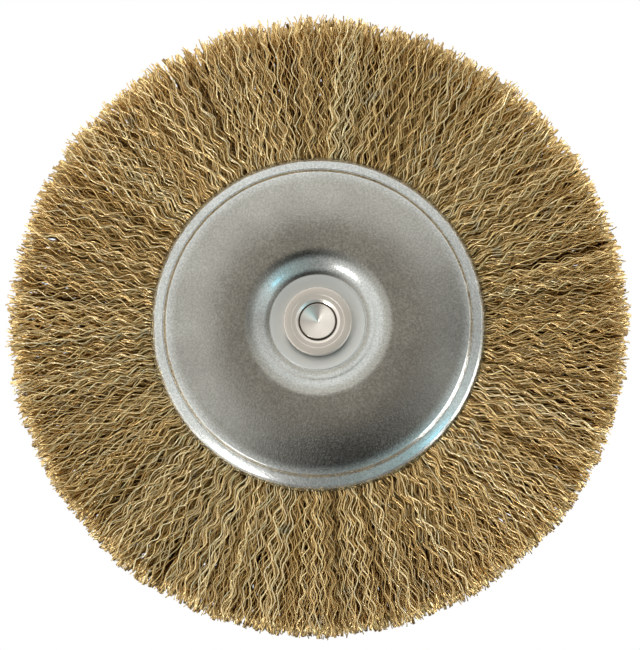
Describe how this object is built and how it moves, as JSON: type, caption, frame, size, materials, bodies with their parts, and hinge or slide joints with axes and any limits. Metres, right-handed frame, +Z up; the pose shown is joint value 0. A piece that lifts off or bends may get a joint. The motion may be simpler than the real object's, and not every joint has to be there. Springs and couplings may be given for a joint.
{
  "type": "crimped wire wheel brush",
  "caption": "Flat round wire brush for a drill: crimped brass-coated wire held between two stamped plates on a round shank.",
  "frame": {"origin": "on the wheel's axis, where the round shank leaves the collar", "axes": "+Y along the shank from the collar to its free end, so the wheel's front faces -Y; +Z up"},
  "size_m": [0.1, 0.0466, 0.1],
  "materials": {
    "plate_zinc": "bright zinc plating",
    "spindle_steel": "turned",
    "brass_wire": "brass-coated drawn wire",
    "inner_steel": "plain"
  },
  "bodies": {
    "root": {"front_plate": "plate_zinc", "back_plate": "plate_zinc", "spindle": "spindle_steel", "hub_spacer": "inner_steel", "anchor_ring": "inner_steel", "crimped_wires": "brass_wire"}
  },
  "joints": []
}
